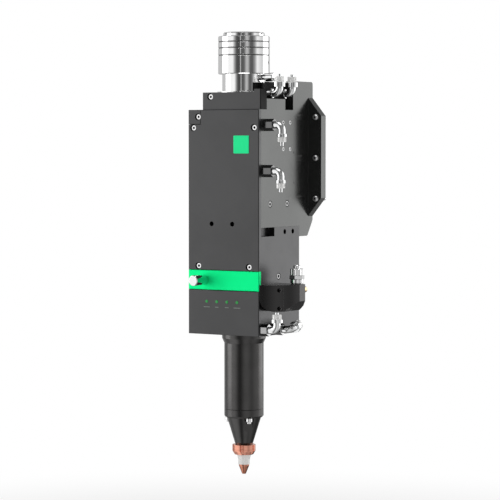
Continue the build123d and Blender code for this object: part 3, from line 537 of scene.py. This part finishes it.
# Sizes of the dark pieces that paint shade in the screws' sockets
socketShadeFacts = {
    "cover_screws": {"axis": 1, "radius": 1.66 * mm, "depth": 1.55 * mm},
    "flange_bolts": {"axis": 1, "radius": 1.26 * mm, "depth": 1.7 * mm},
    "manifold_screws": {"axis": 1, "radius": 1.15 * mm, "depth": 0.7 * mm},
    "side_screws": {"axis": 0, "radius": 1.66 * mm, "depth": 1.55 * mm,
                    "small": {"radius": 1.15 * mm, "depth": 0.7 * mm}},
}
# Near-black finish for painted shade in screw sockets and round the cover screws' heads
socketPaintedShade = mattBlack("socketPaintedShade", colour(0.004, 0.004, 0.004), 0.6)
smallScrew = 6.0 * mm  # Side screws less high than this are the small ones


def isSmall(low, high):
    return high.z - low.z < smallScrew


def makeSocketShades(facts, lip):
    # Painted shade: near-black floors and walls in the hexagonal sockets of the screws, where shade falls
    for name, fact in facts.items():
        mesh = bmesh.new()
        axis = fact["axis"]
        up = (0, 0, 1) if axis == 0 else (1, 0, 0)
        for low, high in loosePieces(nodes[name]):
            size = fact["small"] if "small" in fact and isSmall(low, high) else fact
            # The side screws look right, the rear cover's look back and all others look to the front
            rear = name == "cover_screws" and low.y > 0
            side = 1.0 if axis == 0 or rear else -1.0
            normal = Vector((0, 0, 0))
            normal[axis] = side
            middle = (low + high) / 2
            middle[axis] = (high if side > 0 else low)[axis] - side * size["depth"]
            floor = bmesh.ops.create_circle(mesh, cap_ends=True, segments=6, radius=size["radius"],
                                            matrix=standing(middle, normal, up))["verts"]
            rim = [e for e in mesh.edges if e.verts[0] in floor and e.verts[1] in floor]
            raised = vertsOf(bmesh.ops.extrude_edge_only(mesh, edges=rim))
            bmesh.ops.translate(mesh, vec=normal * (size["depth"] - lip), verts=raised)
        newPiece("sockets_" + name, mesh, socketPaintedShade, "head")


makeSocketShades(socketShadeFacts, lip=0.2 * mm)

headFacts = {"bore": 1.75 * mm, "radius": 3.45 * mm, "proud": 1.5 * mm, "edge": 0.35 * mm, "sunk": 0.1 * mm,
             "steps": 40}


def makeSideHeads(facts):
    # Round rims that bring the large side screws' heads up to the plate's face
    top, edge, wide, bore = facts["proud"], facts["edge"], facts["radius"], facts["bore"]
    profile = [(-facts["sunk"], bore), (-facts["sunk"], wide), (top - edge, wide), (top, wide - edge),
               (top, bore + edge), (top - edge, bore)]
    large = [box for box in loosePieces(nodes["side_screws"]) if not isSmall(*box)]
    for number, (low, high) in enumerate(large):
        place = Vector((high.x, (low.y + high.y) / 2, (low.z + high.z) / 2))
        rim = spun(bmesh.new(), place, (1, 0, 0), profile, facts["steps"])
        newPiece("sideScrewRim" + str(number + 1), rim, dullSteel, "head")


makeSideHeads(headFacts)

# Sizes of the thin dark walls that paint shade round the cover screws' heads
boreShadeFacts = {"inner": 4.08 * mm, "outer": 4.17 * mm, "below": 2.3 * mm, "above": 1.5 * mm, "steps": 40}


def makeBoreShades(facts):
    # Painted shade: near-black walls round the cover screws' heads in their recessed holes, where shade
    # falls
    profile = tube(-facts["below"], facts["above"], facts["inner"], facts["outer"])
    for number, (low, high) in enumerate(loosePieces(nodes["cover_screws"])):
        side = 1 if low.y > 0 else -1
        place = Vector(((low.x + high.x) / 2, high.y if side > 0 else low.y, (low.z + high.z) / 2))
        wall = spun(bmesh.new(), place, (0, side, 0), profile, facts["steps"])
        newPiece("counterbore" + str(number + 1), wall, socketPaintedShade, "head")


makeBoreShades(boreShadeFacts)

# Heights and sizes of the painted shade bands in the sleeve's grooves
grooveShadeFacts = {"rises": (22.6 * mm, 31.6 * mm, 39.2 * mm), "foot": 0.25 * mm, "top": 1.55 * mm,
             "inner": 31.58 * mm, "outer": 31.72 * mm, "gap": 0.2 * mm, "steps": 96}


def makeGrooveShades(facts):
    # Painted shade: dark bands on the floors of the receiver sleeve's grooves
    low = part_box("locking_sleeve")[0]
    profile = tube(facts["foot"], facts["top"], facts["inner"], facts["outer"])
    for number, rise in enumerate(facts["rises"]):
        place = Vector((0, 0, low.z - facts["gap"] + rise))
        band = spun(bmesh.new(), place, (0, 0, 1), profile, facts["steps"])
        newPiece("sleeveBand" + str(number + 1), band, grooveShade, "sleeve")


makeGrooveShades(grooveShadeFacts)

gasFacts = {
    "bore": 3.2 * mm, "edge": 0.5 * mm, "flutes": 12, "fluteDepth": 0.6 * mm, "fluteOutside": 6.4 * mm,
    # Upper end above the manifold, radius and number of sides of each section
    "sections": {"foot": (1.2 * mm, 7.6 * mm, 48), "collar": (6.0 * mm, 8.2 * mm, 48),
                 "hexagon": (11.0 * mm, 9.5 * mm, 6), "grip": (19.1 * mm, 8.3 * mm, 72),
                 "tip": (23.3 * mm, 4.4 * mm, 48)},
}


def makeGasFitting(facts):
    # Push-in gas fitting: base rings, hexagon, fluted grip and a bored tip
    low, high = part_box("gas_fitting")
    sections, edge, bore = facts["sections"], facts["edge"], facts["bore"]
    centre = Vector(((low.x + high.x) / 2, (low.y + high.y) / 2, high.z - sections["tip"][0]))
    mesh = bmesh.new()
    under = 0.0
    for upper, radius, sides in sections.values():
        profile = [(under, bore), (under, radius - edge), (under + edge, radius), (upper - edge, radius),
                   (upper, radius - edge), (upper, bore)]
        spun(mesh, centre, (0, 0, 1), profile, sides)
        under = upper
    gripLow, gripHigh = (sections[part][0] + centre.z for part in ("hexagon", "grip"))
    for vert in mesh.verts:
        out = vert.co - centre
        out.z = 0
        if gripLow < vert.co.z < gripHigh and out.length > facts["fluteOutside"]:
            wave = 0.5 - 0.5 * cos(facts["flutes"] * atan2(out.y, out.x))
            vert.co -= out.normalized() * facts["fluteDepth"] * wave
    piece = newPiece("gasFittingBody", mesh, finishes["polished_steel"], "head")
    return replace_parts(piece, "gas_fitting")


makeGasFitting(gasFacts)

threadFacts = {"pitch": 0.8 * mm, "radius": 2.47 * mm, "height": 0.16 * mm, "halfWidth": 0.32 * mm,
               "steps": 20, "plainEnd": 0.6 * mm, "length": 9.2 * mm}


def makeThreads(facts):
    # The raised spiral on the bolt ends that stand out behind the flange
    pitch, length, steps, half = facts["pitch"], facts["length"], facts["steps"], facts["halfWidth"]
    turns = int(length / pitch)
    corners = [(-half, 0), (0, facts["height"]), (half, 0)]
    mesh = bmesh.new()
    for low, high in loosePieces(nodes["flange_bolts"]):
        foot = high.y - length - facts["plainEnd"]
        start = Vector(((low.x + high.x) / 2, foot, (low.z + high.z) / 2))
        verts = [mesh.verts.new(start + Vector((facts["radius"] + out, along, 0))) for along, out in corners]
        edges = [mesh.edges.new(pair) for pair in zip(verts, verts[1:])]
        bmesh.ops.spin(mesh, geom=verts + edges, cent=(start.x, 0, start.z), axis=(0, 1, 0),
                       dvec=(0, pitch / steps, 0), angle=turns * tau, steps=turns * steps, use_merge=False)
    newPiece("boltThreads", mesh, finishes["cap_steel"], "head")


makeThreads(threadFacts)
print("sockets, bands and threads done")

cameraTurn = 33.0  # Degrees to the right of the head's front; the studio turns with the camera
studio = {
    "floorZ": -150 * mm, "floorSize": 9.0, "floorFade": (0.35, 1.1),
    "ambient": 0.6,
    "aim": (0.0, 0.0, 0.28),
    "lamps": {
        "leftLamp": {"azimuth": -62.0, "distance": 1.9, "height": 0.45, "size": (1.2, 2.4), "watts": 12.5},
        "rightLamp": {"azimuth": 149.0, "distance": 2.0, "height": 0.5, "size": (1.4, 2.2), "watts": 12.0},
        "topLamp": {"azimuth": cameraTurn, "distance": 0.4, "height": 1.75, "size": (0.8, 0.8),
                    "watts": 7.0},
    },
    # What polished metal mirrors, in degrees to the right of the camera: white, with dark sheets and gaps
    "surround": {
        "radius": 2.35, "height": 2.0, "sides": 96, "aboveFloor": 8 * mm,
        "ceiling": 0.22, "ceilingBlend": (1.65, 1.98), "underfoot": 0.14,
        "darkSpot": (0.25, 0.40), "nearby": (0.28, 0.60),
        "split": (0.05, 0.35),
        "upper": {-180: 0.45, -140: 0.6, -104: 0.55, -98: 1.0, -52: 1.0, -42: 0.35, -33: 0.08, -18: 0.07,
                  -17: 0.5, -14: 0.5, -13: 0.09, 1: 0.13, 11: 0.5, 17: 0.5, 27: 0.12, 38: 0.10, 50: 0.33,
                  62: 0.95, 85: 0.68, 108: 0.87, 135: 0.8, 155: 0.5, 180: 0.45},
        "lower": {-180: 0.5, -104: 0.6, -98: 1.0, -60: 1.0, -48: 0.75, -37: 0.33, -30: 0.15, -18: 0.15,
                  -6: 0.45, 4: 0.65, 24: 0.66, 40: 0.45, 48: 0.42, 62: 0.58, 85: 0.75, 105: 0.9, 180: 0.5},
    },
}


def facingAim(at, aim):
    direction = Vector(aim) - Vector(at)
    return Matrix.Translation(at) @ direction.to_track_quat("-Z", "Y").to_matrix().to_4x4()


def outwards(azimuth):
    # The level direction at so many degrees to the right of the head's front
    turn = radians(azimuth)
    return Vector((sin(turn), -cos(turn), 0.0))


def anyRay(shader):
    # 1 for camera, mirror and glass rays, so that they all meet plain white
    camera = shader.node("ShaderNodeLightPath", output="Is Camera Ray")
    return camera.highest(camera.beside("Is Glossy Ray")).highest(camera.beside("Is Transmission Ray"))


def makeFloor(facts):
    # A pale sheet that fades to plain white away from the head
    mesh = bmesh.new()
    bmesh.ops.create_grid(mesh, x_segments=1, y_segments=1, size=facts["floorSize"] / 2)
    floor = asObject("studioFloor", mesh)
    floor.location.z = facts["floorZ"]
    shader = material("paleFloor")
    x, y = shader.axes()[:2]
    far = hypotenuse(x, y).ramp(*facts["floorFade"])
    patches = shader.noise(scale=40.0, detail=3.0)
    tone = shader.mixed(patches, colour(0.88, 0.88, 0.88), colour(0.92, 0.92, 0.92))
    pale = shader.node("ShaderNodeBsdfDiffuse", None, {"Color": tone})
    white = shader.node("ShaderNodeEmission", None, {"Color": colour(1, 1, 1), "Strength": 1.0})
    surface = shader.node("ShaderNodeMixShader", None, {0: far * anyRay(shader), 1: pale, 2: white})
    shader.node("ShaderNodeOutputMaterial", None, {"Surface": surface})
    floor.data.materials.append(shader.holder)


def surroundTones(fact):
    # Grey tones round the head, with a dark patch behind it and a dim ceiling
    shader = material("surroundTones")
    x, y, z = shader.axes()
    degrees = x.combine("ARCTAN2", x, -1.0 * y) * (360.0 / tau)
    turn = degrees / 360.0 + 0.5
    tones = {}
    for name in ("upper", "lower"):
        stops = [((angle + 180.0) / 360.0, level) for angle, level in fact[name].items()]
        tones[name] = shader.node("ShaderNodeValToRGB", {"stops": stops}, {"Fac": turn})
    tone = tones["lower"] + z.ramp(*fact["split"]) * (tones["upper"] - tones["lower"])
    across, back = fact["darkSpot"]
    away = hypotenuse(x - across, y - back).ramp(*fact["nearby"])
    tone = fact["underfoot"] + (tone - fact["underfoot"]) * away
    tone = tone + z.ramp(*fact["ceilingBlend"]) * (fact["ceiling"] - tone)
    glow = shader.node("ShaderNodeEmission", None, {"Color": colour(1, 1, 1), "Strength": tone})
    shader.node("ShaderNodeOutputMaterial", None, {"Surface": glow})
    return shader.holder


def makeSurround(facts):
    # A drum of grey tones that only mirror-like surfaces see
    fact = facts["surround"]
    low = facts["floorZ"] + fact["aboveFloor"]
    mesh = bmesh.new()
    bmesh.ops.create_circle(mesh, cap_ends=True, segments=fact["sides"], radius=fact["radius"])
    top = vertsOf(bmesh.ops.extrude_face_region(mesh, geom=mesh.faces[:]))
    bmesh.ops.translate(mesh, vec=(0, 0, fact["height"] - low), verts=top)
    bmesh.ops.translate(mesh, vec=(0, 0, low), verts=mesh.verts)
    drum = asObject("studioSurround", mesh)
    drum.rotation_euler.z = radians(cameraTurn)
    drum.visible_camera = False
    drum.visible_shadow = False
    drum.visible_diffuse = False
    drum.data.materials.append(surroundTones(fact))


def makeLamps(facts):
    for name, lamp in facts["lamps"].items():
        light = bpy.data.lights.new(name, "AREA")
        light.shape = "RECTANGLE"
        light.size, light.size_y = lamp["size"]
        light.energy = lamp["watts"]
        holder = bpy.data.objects.new(name, light)
        at = outwards(lamp["azimuth"]) * lamp["distance"] + Vector((0, 0, lamp["height"]))
        holder.matrix_world = facingAim(at, facts["aim"])
        holder.visible_camera = False
        bpy.context.scene.collection.objects.link(holder)


def makeWorld(facts):
    world = bpy.data.worlds.new("whiteStudio")
    bpy.context.scene.world = world
    shader = Shader(world)
    level = facts["ambient"] + (1.0 - facts["ambient"]) * anyRay(shader)
    back = shader.node("ShaderNodeBackground", None, {"Color": colour(1, 1, 1), "Strength": level})
    shader.node("ShaderNodeOutputWorld", None, {"Surface": back})


makeFloor(studio)
makeSurround(studio)
makeLamps(studio)
makeWorld(studio)
print("studio ready")

view = {"distance": 2.75, "height": 406.3 * mm, "aimZ": 281.3 * mm, "aimRight": 7.5 * mm, "lens": 158.4,
        "sensorWidth": 36.0, "clip": (0.05, 50.0)}


def makeCamera(facts):
    turn = radians(cameraTurn)
    right = Vector((cos(turn), sin(turn), 0.0))
    at = outwards(cameraTurn) * facts["distance"] + Vector((0, 0, facts["height"]))
    aim = right * facts["aimRight"] + Vector((0, 0, facts["aimZ"]))
    data = bpy.data.cameras.new("studioCamera")
    data.lens = facts["lens"]
    data.sensor_width = facts["sensorWidth"]
    data.clip_start, data.clip_end = facts["clip"]
    camera = bpy.data.objects.new("studioCamera", data)
    camera.matrix_world = facingAim(at, aim)
    bpy.context.scene.collection.objects.link(camera)
    bpy.context.scene.camera = camera


makeCamera(view)
bpy.context.scene.view_settings.view_transform = "Standard"
print("camera ready")
